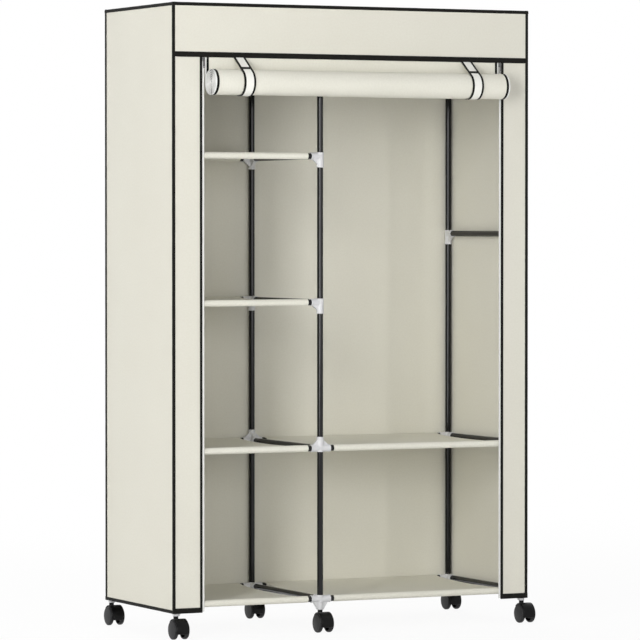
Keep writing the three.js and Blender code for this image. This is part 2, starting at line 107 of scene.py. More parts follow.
# Cloth, tapes and thread
cloth = 0.8 * MM
tape = 0.8 * MM
tape_slack = 0.2 * MM
tape_step = 12 * MM
front_left_width = 5.5 * MM
right_corner_width = 8.7 * MM
back_corner_width = 12 * MM
roof_width = 8 * MM
hem_width = 8 * MM
front_hem_width = 13 * MM
opening_width = 6.3 * MM
zip_tape_width = 6.5 * MM
tooth_pitch = 2.4 * MM
valance_inset = 3 * MM
tucked_behind_valance = 16 * MM
shelf_inset = 38 * MM
shelf_seam = 16 * MM
shelf_sag = 9 * MM
strap_width = 33 * MM
strap_binding = 5.5 * MM
thread_width = 0.5 * MM
stitch_length = 3.0 * MM
stitch_pitch = 4.2 * MM
stitch_lift = 0.55

# Rolled door
roll_unevenness = 4 * MM
cad_cloth = 1.0 * MM
roll_radius = 34.5 * MM
core_radius = 3 * MM
door_hang = 65 * MM
door_rows = 560

# Casters
wheel_radius = 25 * MM
caster_width = 45 * MM
wheel_thickness = 12 * MM
caster_trail = 19 * MM
hood_gap = 1.4 * MM
hood_wall = 2.8 * MM
hood_width = 35 * MM
hood_from, hood_to = 40, 200  # degrees round the axle
web_half = 3.5 * MM
wheel_dome = 1.5 * MM
tread_rounding = 3.5 * MM
wheel_hollow = 7.5 * MM
hub_radius = 8 * MM
hub_half = caster_width / 2 - wheel_thickness - 0.5 * MM
collar_radius = 6.5 * MM

# Stage
floor_half = 40
floor_glow = 0.93
shadow_reach = (1.6, 4.5)
world_light = 0.37

# Lamps: name, place, the place that each faces, width and height, and power in watts
lamps = (("key", (-4.97, -4.64, 1.95), (0, 0, 0.8), (0.8, 3.6), 190),
         ("front", (-1.2, -7.0, 1.7), (0, 0, 0.8), (2.4, 2.4), 88),
         ("side", (-6.0, -1.6, 3.8), (0, 0, 0.8), (2.6, 2.6), 68),
         ("back", (1.0, 5.0, 3.6), (0, 0, 0.9), (3.0, 2.0), 120))

# Filled while the pieces are made: lines of stitches for each kind of seam, and what each soft piece says
seams = {}
declared = []


# Places that the frame gives
def axis_of(node):
    low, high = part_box(node)
    return (low + high) / 2


columns = {c: axis_of(f"upright_{c}_front").x for c in ("left", "centre", "right")}
front_y = axis_of("upright_left_front").y
back_y = axis_of("upright_left_back").y
rod_y = axis_of("hanging_rod").y
ends_y = (("front", front_y), ("back", back_y))
levels = {s: axis_of(f"shelf_left_{s}").z for s in ("bottom", "first", "second", "third")}
levels["top"] = axis_of("top_rail_left_front").z
levels["brace"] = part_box("rung_right_brace")[1].z - sleeve_short
levels["rod"] = axis_of("hanging_rod").z
wide_levels = ("bottom", "first", "top")

cover_low, cover_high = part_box("cover_roof")
left_x, right_x = cover_low.x, cover_high.x
near_y, far_y = cover_low.y, cover_high.y
top_z = cover_high.z
hem_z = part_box("cover_back")[0].z
valance_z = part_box("valance")[0].z
tape_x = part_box("front_flap_right")[0].x
opening_x = tape_x + zip_tape_width
door_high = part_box("door_panel")[1]
door_half = door_high.x


# Colours
def paint(code):
    """A linear colour from an sRGB hex code."""
    parts = [int(code[i:i + 2], 16) / 255 for i in (0, 2, 4)]
    return (*[p / 12.92 if p <= 0.04045 else ((p + 0.055) / 1.055) ** 2.4 for p in parts], 1.0)


def add(tree, kind, settings=(), inputs=()):
    """A node with its settings, and its inputs set to values or linked to sockets."""
    node = tree.nodes.new(kind)
    for key, value in dict(settings).items():
        setattr(node, key, value)
    for key, value in dict(inputs).items():
        if isinstance(value, bpy.types.NodeSocket):
            tree.links.new(value, node.inputs[key])
        else:
            node.inputs[key].default_value = value
    return node


def new_material(name):
    """A new material, its tree, and the sockets that give the place on the object and on its flat cloth."""
    material = bpy.data.materials.new(name)
    material.use_nodes = True
    tree = material.node_tree
    tree.nodes.clear()
    place = add(tree, "ShaderNodeTexCoord")
    return material, tree, place.outputs["Object"], place.outputs["UV"]


def patches(tree, vector, size_mm, detail, low, high):
    """Soft patches about as large as size_mm, as a factor between low and high."""
    noise = add(tree, "ShaderNodeTexNoise", {}, {"Vector": vector, "Scale": 1000 / size_mm, "Detail": detail})
    reach = {"Value": noise.outputs["Fac"], "From Min": 0.35, "From Max": 0.65, "To Min": low, "To Max": high}
    return add(tree, "ShaderNodeMapRange", {}, reach).outputs["Result"]


def surface(material, tree, clouding, colours, relief, finish):
    """Two hex colours mixed by a clouding factor, under a relief of (height, strength, depth in mm)."""
    first, second = colours
    colour = add(tree, "ShaderNodeMix", {"data_type": "RGBA"},
                 {0: clouding, 6: paint(first), 7: paint(second)})
    height, strength, depth_mm = relief
    bump = add(tree, "ShaderNodeBump", {}, {"Height": height, "Strength": strength,
                                            "Distance": depth_mm * MM})
    shader = add(tree, "ShaderNodeBsdfPrincipled", {},
                 {"Base Color": colour.outputs[2], "Normal": bump.outputs[0], **finish})
    add(tree, "ShaderNodeOutputMaterial", {}, {"Surface": shader.outputs["BSDF"]})
    return material


def spunbond(name, pale, deep, pitch_mm=3.0):
    """Non-woven polypropylene, spun and then bonded by hot points. The eye sees a matt, faintly clouded
    sheet with a grid of small dimples. The real points are 1.2 mm apart; they are drawn coarser to show."""
    material, tree, where, along = new_material(name)
    clouds = patches(tree, where, 300, 2, 0.0, 0.35)
    fibres = patches(tree, along, 5, 6, 0.0, 0.5)
    factor = add(tree, "ShaderNodeMath", {"operation": "ADD", "use_clamp": True}, {0: clouds, 1: fibres})
    turned = add(tree, "ShaderNodeMapping", {}, {"Vector": along, "Rotation": (0, 0, math.radians(45))})
    dots = add(tree, "ShaderNodeTexVoronoi", {"voronoi_dimensions": "2D"},
               {"Vector": turned.outputs[0], "Scale": 1000 / pitch_mm, "Randomness": 0.0})
    dimples = add(tree, "ShaderNodeMapRange", {}, {"Value": dots.outputs["Distance"], "From Max": 0.35})
    strands = add(tree, "ShaderNodeTexNoise", {}, {"Vector": along, "Scale": 900, "Detail": 4.0})
    height = add(tree, "ShaderNodeMath", {"operation": "MULTIPLY_ADD"},
                 {0: strands.outputs["Fac"], 1: 0.5, 2: dimples.outputs[0]})
    return surface(material, tree, factor.outputs[0], (pale, deep), (height.outputs[0], 0.25, 0.2),
                   {"Roughness": 0.93, "IOR": 1.49, "Sheen Weight": 0.08, "Specular IOR Level": 0.25})


def grosgrain(name, dark, pale, rib_mm=1.6):
    """Woven polyester binding tape. The eye sees fine ribs across the tape and a little lint on the black."""
    material, tree, where, along = new_material(name)
    ribs = add(tree, "ShaderNodeTexWave", {"bands_direction": "X"},
               {"Vector": along, "Scale": 1000 / rib_mm / (2 * math.pi), "Distortion": 0.6, "Detail": 2.0})
    lint = patches(tree, where, 9, 8, 0.0, 0.7)
    return surface(material, tree, lint, (dark, pale), (ribs.outputs["Fac"], 0.35, 0.15),
                   {"Roughness": 0.86, "IOR": 1.5, "Sheen Weight": 0.05, "Specular IOR Level": 0.2})


def powder_coat(name, dark, pale):
    """Black polyester powder baked on steel tube. The eye sees a glossy black with a slight orange peel."""
    material, tree, where, _ = new_material(name)
    peel = add(tree, "ShaderNodeTexNoise", {}, {"Vector": where, "Scale": 420, "Detail": 2.0})
    rubbed = patches(tree, where, 60, 6, 0.0, 1.0)
    gloss = add(tree, "ShaderNodeMapRange", {}, {"Value": rubbed, "To Min": 0.08, "To Max": 0.13})
    return surface(material, tree, rubbed, (dark, pale), (peel.outputs["Fac"], 0.05, 0.05),
                   {"Roughness": gloss.outputs[0], "IOR": 1.5, "Specular IOR Level": 0.34})


def moulded(name, dark, pale, roughness, grain_mm=1.2, grain=0.1, shine=0.5):
    """Injection-moulded plastic. The eye sees one even colour with faint flow marks and the fine grain
    that the spark-eroded mould leaves."""
    material, tree, where, _ = new_material(name)
    flow = patches(tree, where, 22, 3, 0.0, 0.8)
    grains = add(tree, "ShaderNodeTexNoise", {}, {"Vector": where, "Scale": 1000 / grain_mm, "Detail": 3.0})
    gloss = add(tree, "ShaderNodeMapRange", {}, {"Value": flow, "To Min": roughness,
                                                 "To Max": roughness + 0.1})
    return surface(material, tree, flow, (dark, pale), (grains.outputs["Fac"], grain, 0.1),
                   {"Roughness": gloss.outputs[0], "IOR": 1.5, "Specular IOR Level": shine})


def bare_metal(name, shade, pale, roughness, grain_mm):
    """Plated steel or die-cast zinc. The eye sees grey metal with fine rub marks."""
    material, tree, where, _ = new_material(name)
    rubs = add(tree, "ShaderNodeTexNoise", {}, {"Vector": where, "Scale": 1000 / grain_mm, "Detail": 5.0})
    marks = rubs.outputs["Fac"]
    gloss = add(tree, "ShaderNodeMapRange", {}, {"Value": marks, "To Min": roughness - 0.08,
                                                 "To Max": roughness + 0.12})
    return surface(material, tree, marks, (shade, pale), (marks, 0.15, 0.05),
                   {"Metallic": 0.85, "Roughness": gloss.outputs[0]})


cover_cloth = spunbond("spunbond_polypropylene_ivory", "e3e1d5", "dedbce")
shelf_cloth = spunbond("spunbond_polypropylene_shelf", "e8e6da", "dfddd0")
door_cloth = spunbond("spunbond_polypropylene_door", "eae8dc", "e2e0d3")
strap_cloth = spunbond("spunbond_polypropylene_white", "f9f8f2", "f2f1ea", 2.0)
binding_tape = grosgrain("polyester_grosgrain_black", "0b0b08", "161510")
zip_tape = grosgrain("polyester_zip_tape_white", "ecece9", "f6f6f3", 1.4)
black_thread = moulded("polyester_thread_black", "1c1c19", "2e2e2a", 0.7)
white_thread = moulded("polyester_thread_white", "e6e5dc", "f1f0e8", 0.7)
tube_coat = powder_coat("powder_coated_steel_black", "060607", "0e0e10")
white_moulding = moulded("moulded_polypropylene_white", "d0d0d1", "dadadb", 0.36)
hood_moulding = moulded("moulded_nylon_black", "060606", "0c0c0c", 0.3, 0.8, 0.1, 0.15)
wheel_moulding = moulded("moulded_nylon_wheel", "1b1b1c", "242425", 0.42, 1.0, 0.2, 0.25)
zip_nylon = moulded("nylon_zip_teeth", "c9c9c8", "dadad8", 0.4)
plated_steel = bare_metal("zinc_plated_steel", "8f8f8c", "b9b9b6", 0.35, 2.0)
zinc = bare_metal("die_cast_zinc_grey", "4a4a4b", "8a8a88", 0.42, 1.5)


# Shapes
def waves(across, along, seed, longest, amount):
    """A soft waviness in metres: eight seeded sine waves, shorter ones lower."""
    random = np.random.RandomState(seed)
    total = np.zeros(np.broadcast(across, along).shape)
    for _ in range(8):
        length = longest * random.uniform(0.35, 1.0)
        turn = random.uniform(0, math.pi)
        phase = random.uniform(0, 2 * math.pi)
        travel = across * math.cos(turn) + along * math.sin(turn)
        total += amount / 3 * (length / longest) * np.sin(2 * math.pi * travel / length + phase)
    return total


def in_scene(name, data):
    thing = bpy.data.objects.new(name, data)
    bpy.context.scene.collection.objects.link(thing)
    return thing


def put(name, mesh, material, sharp_degrees=35):
    """A mesh as an object of one material, smooth but for its edges."""
    mesh.materials.clear()
    mesh.materials.append(material)
    mesh.polygons.foreach_set("use_smooth", [True] * len(mesh.polygons))
    mesh.set_sharp_from_angle(angle=math.radians(sharp_degrees))
    return in_scene(name, mesh)


def finish(name, mesh, material, slot, nodes=(), body=ROOT, sharp_degrees=35):
    """A mesh as a finished piece that rides on a body and takes the place of the nodes that it shows."""
    piece = put(name, mesh, material, sharp_degrees)
    if nodes:
        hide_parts(*nodes)
    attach(piece, body)
    return piece


def normals_of(grid):
    """The unit normal at each point of a grid of points."""
    down = np.gradient(grid, axis=0)
    right = np.gradient(grid, axis=1)
    normal = np.cross(down, right)
    return normal / np.maximum(np.linalg.norm(normal, axis=2, keepdims=True), 1e-12)


def turned_out(shape, mesh=None):
    """The mesh of a closed shape, with its faces turned outwards."""
    bmesh.ops.recalc_face_normals(shape, faces=shape.faces)
    mesh = mesh or bpy.data.meshes.new("shape")
    shape.to_mesh(mesh)
    shape.free()
    return mesh


def facing(mesh):
    shape = bmesh.new()
    shape.from_mesh(mesh)
    return turned_out(shape, mesh)


def sheet(grid, thickness):
    """A closed sheet of cloth round a grid of points, with its UV map in metres of cloth."""
    rows, cols = grid.shape[:2]
    count = rows * cols
    offset = normals_of(grid) * thickness / 2
    points = np.concatenate([(grid + offset).reshape(-1, 3), (grid - offset).reshape(-1, 3)])
    index = np.arange(count).reshape(rows, cols)
    back = index + count
    quads = np.stack([index[:-1, :-1], index[1:, :-1], index[1:, 1:], index[:-1, 1:]], axis=2).reshape(-1, 4)
    under = np.stack([back[:-1, :-1], back[:-1, 1:], back[1:, 1:], back[1:, :-1]], axis=2).reshape(-1, 4)
    loop = np.concatenate([index[0, :], index[1:, -1], index[-1, -2::-1], index[-2:0:-1, 0]])
    after = np.roll(loop, -1)
    rims = np.stack([loop, after, after + count, loop + count], axis=1)
    mesh = bpy.data.meshes.new("sheet")
    mesh.from_pydata(points.tolist(), [], np.concatenate([quads, under, rims]).tolist())
    step_down = np.linalg.norm(np.diff(grid, axis=0), axis=2).mean(axis=1)
    step_right = np.linalg.norm(np.diff(grid, axis=1), axis=2).mean(axis=0)
    v = np.concatenate([[0], np.cumsum(step_down)])
    u = np.concatenate([[0], np.cumsum(step_right)])
    flat = np.stack(np.meshgrid(v, u, indexing="ij")[::-1], axis=2).reshape(-1, 2)
    flat = np.concatenate([flat, flat])
    layer = mesh.uv_layers.new(name="cloth")
    corners = np.zeros(len(mesh.loops), np.int32)
    mesh.loops.foreach_get("vertex_index", corners)
    layer.data.foreach_set("uv", flat[corners].ravel())
    return facing(mesh)


def outwards(grid):
    """The normals of a folded tape, turned away from the middle of its fold."""
    normal = normals_of(grid)
    middle = grid.mean(axis=0, keepdims=True)
    towards = np.sum((grid - middle) * normal, axis=2, keepdims=True)
    return normal * np.where(towards.sum() < 0, -1.0, 1.0)


def united(meshes):
    """Several meshes as one."""
    whole = bmesh.new()
    for mesh in meshes:
        whole.from_mesh(mesh)
    joined = bpy.data.meshes.new("united")
    whole.to_mesh(joined)
    whole.free()
    return joined


def run_of(profile, start, end, first, second, step=tape_step, wobble=0.0, seed=0):
    """A profile, given in the directions first and second, run from start to end as a grid of points."""
    start, end = Vector(start), Vector(end)
    count = max(2, int(round((end - start).length / step)) + 1)
    share = np.linspace(0, 1, count)
    base = np.array(start)[None, :] + share[:, None] * np.array(end - start)[None, :]
    shape = np.array([[np.array(first) * a + np.array(second) * b] for a, b in profile]).reshape(-1, 1, 3)
    grid = base[None, :, :] + shape
    if wobble:
        along = share[None, :] * (end - start).length
        across = np.linspace(0, 0.02, len(profile))[:, None]
        grid = grid + normals_of(grid) * waves(across, along, seed, 60 * MM, wobble)[:, :, None]
    return grid


def length_of(profile):
    return sum(math.dist(a, b) for a, b in zip(profile, profile[1:]))


def arc(centre, radius, start, end, steps):
    """Points of an arc, in degrees."""
    angles = [math.radians(start + (end - start) * i / steps) for i in range(steps + 1)]
    return [(centre[0] + radius * math.cos(a), centre[1] + radius * math.sin(a)) for a in angles]


def lathe(profile, axis, place, steps=40):
    """A closed profile of (radius, along) turned round an axis through a place."""
    across, up = {"x": (Y, Z), "y": (Z, X), "z": (X, Y)}[axis]
    main = AXES[axis]
    shape = bmesh.new()
    rings = []
    for radius, along in profile:
        ring = []
        for i in range(steps if radius > 1e-9 else 1):
            angle = 2 * math.pi * i / steps
            spoke = across * math.cos(angle) + up * math.sin(angle)
            ring.append(shape.verts.new(Vector(place) + main * along + spoke * radius))
        rings.append(ring)
    closed = profile[0][0] > 1e-9
    pairs = list(zip(rings, rings[1:])) + ([(rings[-1], rings[0])] if closed else [])
    for one, two in pairs:
        for i in range(steps):
            k = (i + 1) % steps
            corners = [one[i % len(one)], one[k % len(one)], two[k % len(two)], two[i % len(two)]]
            corners = list(dict.fromkeys(corners))
            if len(corners) > 2:
                shape.faces.new(corners)
    return turned_out(shape)


def rod(axis, start, end, radius, place=ORIGIN, steps=32, bore=0):
    """A rod or, with a bore, a tube, with a small radius on its cut ends."""
    lip = radius - cut_edge
    profile = [(bore, start), (lip, start), (radius, start + cut_edge),
               (radius, end - cut_edge), (lip, end), (bore, end)]
    middle = Vector(place)
    middle["xyz".index(axis)] = 0
    return lathe(profile, axis, middle, steps)


def tube(axis, start, end, place):
    return rod(axis, start, end, tube_radius, place, bore=tube_radius - tube_wall)


def plate(outline, first, second, low, high):
    """An outline in the directions first and second, as thick as from low to high across them."""
    third = first.cross(second)
    shape = bmesh.new()
    lower, upper = [[shape.verts.new(first * a + second * b + third * c) for a, b in outline]
                    for c in (low, high)]
    shape.faces.new(lower[::-1])
    shape.faces.new(upper)
    for i in range(len(outline)):
        k = (i + 1) % len(outline)
        shape.faces.new([lower[i], lower[k], upper[k], upper[i]])
    return turned_out(shape)


def evaluated(holder):
    """The plain mesh that an object's modifiers make of it. The object is removed."""
    bpy.context.view_layer.update()
    mesh = bpy.data.meshes.new_from_object(holder.evaluated_get(bpy.context.evaluated_depsgraph_get()))
    holder.modifiers.clear()
    bpy.data.objects.remove(holder)
    return mesh


def worked(mesh, *changes):
    """A mesh after modifiers, each given as its kind and its settings."""
    holder = in_scene("work", mesh)
    for kind, settings in changes:
        modifier = holder.modifiers.new(kind.lower(), kind)
        for key, value in settings.items():
            setattr(modifier, key, value)
    return evaluated(holder)


def rounded(mesh, width, segments=2, degrees=40):
    return worked(mesh, ("BEVEL", {"width": width, "segments": segments, "limit_method": "ANGLE",
                                   "angle_limit": math.radians(degrees)}))


def melted(shapes):
    """Shapes run into each other with the soft fillets of a moulding."""
    return worked(united(shapes),
                  ("REMESH", {"mode": "VOXEL", "voxel_size": voxel}),
                  ("SMOOTH", {"factor": 0.5, "iterations": 4}),
                  ("DECIMATE", {"ratio": 0.16}))


def drilled(mesh, *tools):
    """A mesh with closed tools cut out of it, one after another."""
    for tool in tools:
        cutter = in_scene("tool", tool)
        mesh = worked(mesh, ("BOOLEAN", {"operation": "DIFFERENCE", "object": cutter, "solver": "EXACT",
                                         "use_self": True}))
        bpy.data.objects.remove(cutter)
    return mesh


def moved(mesh, place, then=Matrix()):
    """A copy of a mesh, changed by the matrix given last, if any, and then moved to a place."""
    copy = mesh.copy()
    copy.transform(Matrix.Translation(place) @ then)
    if then.determinant() < 0:
        copy.flip_normals()
    return copy


# Geometry Nodes trees for what repeats or follows a rule
def new_tree(name, **inputs):
    """A tree with its named inputs, and the sockets that give their values in it."""
    tree = bpy.data.node_groups.new(name, "GeometryNodeTree")
    tree.interface.new_socket("Geometry", in_out="INPUT", socket_type="NodeSocketGeometry")
    for label, kind in inputs.items():
        tree.interface.new_socket(label, in_out="INPUT", socket_type="NodeSocket" + kind)
    tree.interface.new_socket("Geometry", in_out="OUTPUT", socket_type="NodeSocketGeometry")
    return tree, add(tree, "NodeGroupInput").outputs


def end_tree(tree, given, geometry):
    """Instances are made real and get the finish that the tree is given."""
    real = add(tree, "GeometryNodeRealizeInstances", {}, {"Geometry": geometry})
    finished = add(tree, "GeometryNodeSetMaterial", {}, {"Geometry": real.outputs[0],
                                                         "Material": given["Finish"]})
    add(tree, "NodeGroupOutput", {}, {"Geometry": finished.outputs[0]})
    return tree


def beads_along_lines():
    """Beads set along lines at an even pitch: stitches, or the teeth of a zipper."""
    tree, given = new_tree("beads_along_lines", Pitch="Float", Size="Vector", Sides="Int", Finish="Material")
    line = add(tree, "GeometryNodeMeshToCurve", {}, {"Mesh": given["Geometry"]})
    even = add(tree, "GeometryNodeResampleCurve", {"mode": "LENGTH"},
               {"Curve": line.outputs[0], "Length": given["Pitch"]})
    bead = add(tree, "GeometryNodeMeshUVSphere", {}, {"Segments": given["Sides"], "Rings": 4, "Radius": 0.5})
    tangent = add(tree, "GeometryNodeInputTangent")
    aligned = add(tree, "FunctionNodeAlignRotationToVector", {"axis": "X"}, {"Vector": tangent.outputs[0]})
    beads = add(tree, "GeometryNodeInstanceOnPoints", {},
                {"Points": even.outputs[0], "Instance": bead.outputs["Mesh"],
                 "Rotation": aligned.outputs[0], "Scale": given["Size"]})
    return end_tree(tree, given, beads.outputs[0])


def rolled_cloth():
    """A strip of cloth that hangs from its top edge and then winds inwards as an even spiral. The length
    along the cloth, less the part that hangs, gives the angle of the spiral."""
    tree, given = new_tree("rolled_cloth", Left="Float", Right="Float", Hang="Float", Length="Float",
                           Radius="Float", Pitch="Float", Axis="Vector", Rows="Int", Columns="Int",
                           Finish="Material")

    def calc(operation, first, second=0.0, third=0.0):
        node = add(tree, "ShaderNodeMath", {"operation": operation}, {0: first, 1: second, 2: third})
        return node.outputs[0]

    grid = add(tree, "GeometryNodeMeshGrid", {}, {"Size X": 1.0, "Size Y": 1.0,
                                                  "Vertices X": given["Columns"],
                                                  "Vertices Y": given["Rows"]})
    parts = add(tree, "ShaderNodeSeparateXYZ", {}, {0: add(tree, "GeometryNodeInputPosition").outputs[0]})
    share_x = calc("ADD", parts.outputs["X"], 0.5)
    share_y = calc("ADD", parts.outputs["Y"], 0.5)
    width = calc("SUBTRACT", given["Right"], given["Left"])
    x = calc("MULTIPLY_ADD", share_x, width, given["Left"])
    travel = calc("MULTIPLY", share_y, calc("ADD", given["Length"], given["Hang"]))
    wound = calc("MAXIMUM", calc("SUBTRACT", travel, given["Hang"]), 0.0)
    hanging = calc("MAXIMUM", calc("SUBTRACT", given["Hang"], travel), 0.0)
    used = calc("DIVIDE", calc("MULTIPLY", given["Pitch"], wound), math.pi)
    squared = calc("POWER", given["Radius"], 2.0)
    radius = calc("SQRT", calc("MAXIMUM", calc("SUBTRACT", squared, used), 0.0))
    inwards = calc("MULTIPLY", calc("SUBTRACT", given["Radius"], radius), 2 * math.pi)
    angle = calc("DIVIDE", inwards, given["Pitch"])
    axis = add(tree, "ShaderNodeSeparateXYZ", {}, {0: given["Axis"]})
    y = calc("MULTIPLY_ADD", radius, calc("COSINE", angle), axis.outputs["Y"])
    lowered = calc("MULTIPLY", radius, calc("SINE", angle))
    z = calc("ADD", calc("SUBTRACT", axis.outputs["Z"], lowered), hanging)
    place = add(tree, "ShaderNodeCombineXYZ", {}, {"X": x, "Y": y, "Z": z})
    laid = add(tree, "GeometryNodeSetPosition", {}, {"Geometry": grid.outputs["Mesh"],
                                                     "Position": place.outputs[0]})
    return end_tree(tree, given, laid.outputs[0])


def grown(tree, source_mesh=None, **values):
    """The plain mesh that a Geometry Nodes tree makes."""
    holder = in_scene("grow", source_mesh or bpy.data.meshes.new("seed"))
    modifier = holder.modifiers.new("grow", "NODES")
    modifier.node_group = tree
    for item in tree.interface.items_tree:
        if item.item_type == "SOCKET" and item.in_out == "INPUT" and item.name in values:
            modifier[item.identifier] = values[item.name]
    return evaluated(holder)


beads_tree = beads_along_lines()
roll_tree = rolled_cloth()


def beads(name, lines, pitch, size_mm, material, slot):
    """One mesh of beads along lines of points."""
    points, edges = [], []
    for line in lines:
        first = len(points)
        points += [tuple(p) for p in line]
        edges += [(first + i, first + i + 1) for i in range(len(line) - 1)]
    source = bpy.data.meshes.new("lines")
    source.from_pydata(points, edges, [])
    size = tuple(s * MM for s in size_mm)
    mesh = grown(beads_tree, source, Pitch=pitch, Size=size, Sides=6, Finish=material)
    return finish(name, mesh, material, slot)


def sew(name, colour, line):
    """A line of stitches on one of the seams."""
    seams.setdefault(name, (colour, []))[1].append(line)


# Frame
def make_tube(node, axis, place):
    """A length of tube from end to end of its node."""
    low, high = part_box(node)
    i = "xyz".index(axis)
    finish(node + "_tube", tube(axis, low[i], high[i], place), tube_coat, "tube", [node])


def make_tubes():
    for column, x in columns.items():
        for end, y in ends_y:
            make_tube(f"upright_{column}_{end}", "z", (x, y, 0))
    for bay, _ in SIDES:
        for end, y in ends_y:
            make_tube(f"top_rail_{bay}_{end}", "x", (0, y, levels["top"]))
    make_tube("hanging_rod", "x", (0, rod_y, levels["rod"]))


def socket(axis, mouth):
    """A socket's outside: a round bar from the middle of a connector, with a collar round its mouth."""
    inward = mouth - math.copysign(collar_length, mouth)
    return [rod(axis, *sorted((0, mouth)), sleeve_radius, steps=40),
            rod(axis, *sorted((mouth, inward)), sleeve_radius + collar_height, steps=40)]


def bore_of(axis, side=1):
    """What the bore of an arm takes out, from its floor to past its mouth."""
    return rod(axis, *sorted((side * socket_floor, side * (arm_reach + overrun))), socket_bore)


connector_cache = {}


def connector(arms, kind, turn):
    """A moulded connector at the origin for the front end of a rung, its depth socket towards +Y."""
    key = (tuple(arms), kind, turn)
    if key in connector_cache:
        return connector_cache[key]
    foot = kind == "foot"
    long_end = foot_length if foot else sleeve_long
    low = -(sleeve_short if turn > 0 else long_end)
    high = long_end if turn > 0 else sleeve_short
    shapes = socket("z", high)
    web_end = arm_reach - web_setback
    if foot:
        shapes.append(rod("z", low, 0, foot_radius, steps=40))
        shapes.append(rod("z", -sleeve_radius, 0, sleeve_radius, steps=40))
        web = [(0, 0), (web_end, 0), (web_end, foot_web_tip), (foot_radius, foot_length), (0, foot_length)]
    else:
        shapes += socket("z", low)
        web = [(0, 0), (web_end, 0), (web_end, web_tip), (0, 0.96 * sleeve_long)]
    half = web_thickness / 2
    for side in arms:
        shapes += socket("x", side * arm_reach)
        shapes.append(plate([(side * a, turn * b) for a, b in web], X, Z, -half, half))
    shapes += socket("y", arm_reach)
    shapes.append(plate([(a, turn * b) for a, b in web], Y, Z, -half, half))
    bore_low = -foot_seat if foot else low - overrun
    bore_high = high - cap_wall if kind == "cap" else high + overrun
    tools = [rod("z", bore_low, bore_high, socket_bore)]
    if foot:
        tools.append(rod("z", low - overrun, low + stem_socket_depth, stem_socket_radius))
    tools += [bore_of("x", side) for side in arms]
    connector_cache[key] = drilled(melted(shapes), *tools, bore_of("y"))
    return connector_cache[key]


def rod_tee(way):
    """The tee that sits on a depth tube and holds one end of the hanging rod."""
    shapes = [rod("y", -tee_half, tee_half, sleeve_radius, steps=40)]
    for _, side in SIDES:
        low = side * tee_half - collar_length / 2
        shapes.append(rod("y", low, low + collar_length, sleeve_radius + collar_height, steps=40))
    shapes += socket("x", way * arm_reach)
    through = tee_half + 5 * MM
    return drilled(melted(shapes), rod("y", -through, through, socket_bore), bore_of("x", way))


def make_rung(node, x, z, arms, kind="slip", turn=-1, tee=0):
    """A depth tube, with the moulded connector at each of its ends and any tee for the rod."""
    front = connector(arms, kind, turn)
    meshes = [moved(front, (x, front_y, z)),
              moved(front, (x, back_y, z), Matrix.Diagonal((1, -1, 1, 1)))]
    if tee:
        meshes.append(moved(rod_tee(tee), (x, rod_y, z)))
    finish(node + "_connectors", united(meshes), white_moulding, "connector", [node], sharp_degrees=50)
    depth = tube("y", front_y + socket_floor, back_y - socket_floor, (x, 0, z))
    finish(node + "_tube", depth, tube_coat, "tube", [node])


def make_rungs():
    narrow = {"left": [1], "centre": [-1]}
    wide = {"left": [1], "centre": [-1, 1], "right": [-1]}
    kinds = {"bottom": ("foot", -1), "first": ("slip", 1), "top": ("cap", -1)}
    for column, x in columns.items():
        for level in wide_levels:
            kind, turn = kinds[level]
            if column == "right":
                turn = -1
            make_rung(f"rung_{column}_{level}", x, levels[level], wide[column], kind, turn)
        if column in narrow:
            for level in ("second", "third"):
                make_rung(f"rung_{column}_{level}", x, levels[level], narrow[column])
    make_rung("rung_right_brace", columns["right"], levels["brace"], [])
    make_rung("rung_centre_rod", columns["centre"], levels["rod"], [], tee=1)
    make_rung("rung_right_rod", columns["right"], levels["rod"], [], tee=-1)


# Shelves
def make_shelf(node, from_x, to_x, z, seed):
    """A deck whose front and back edges are sewn into sleeves round the cross rails."""
    radius = tube_radius + cloth / 2
    depth = back_y - front_y
    seam_share = shelf_seam / depth

    def deck_z(share):
        return radius - shelf_sag * math.sin(math.pi * share) ** 0.5

    lap = [(shelf_seam, deck_z(seam_share) - cloth), (shelf_seam * 0.8, -radius * 0.1)]
    shares = [seam_share, *np.linspace(0, 1, 35)[2:-2], 1 - seam_share]
    front = lap + arc((0, 0), radius, -60, -270, 20)
    profile = [(front_y + a, b) for a, b in front]
    profile += [(front_y + share * depth, deck_z(share)) for share in shares]
    profile += [(back_y - a, b) for a, b in front[::-1]]
    start_x, end_x = from_x + shelf_inset, to_x - shelf_inset
    grid = run_of(profile, (start_x, 0, z), (end_x, 0, z), Y, Z, 9 * MM)
    along = grid[:, :, 0] - start_x
    across = grid[:, :, 1]
    from_rail = np.minimum(across - front_y, back_y - across)
    deck = np.clip((grid[:, :, 2] - z) / radius, 0, 1) * np.clip(from_rail / (60 * MM), 0, 1)
    grid[:, :, 2] += deck * waves(across, along, seed, 160 * MM, 1.2 * MM)
    piece = finish(node + "_cloth", sheet(grid, cloth), shelf_cloth, "shelf_cloth", [node])
    low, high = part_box(node)
    rails = united([tube("x", low.x, high.x, (0, y, z)) for y in (front_y, back_y)])
    finish(node + "_rails", rails, tube_coat, "tube", [node])
    for row in (len(front), len(front) + len(shares) - 1):
        sew(node, "white", grid[row] + np.array(Z) * cloth * stitch_lift)
    size = (end_x - start_x, length_of(profile))
    declared.append((piece, size, "stretched", [node + "_rails"], ["stitches_" + node]))


def make_shelves():
    for seed, level in enumerate(("bottom", "first", "second", "third")):
        make_shelf(f"shelf_left_{level}", columns["left"], columns["centre"], levels[level], 10 + seed)
        if level in wide_levels:
            make_shelf(f"shelf_right_{level}", columns["centre"], columns["right"], levels[level], 20 + seed)


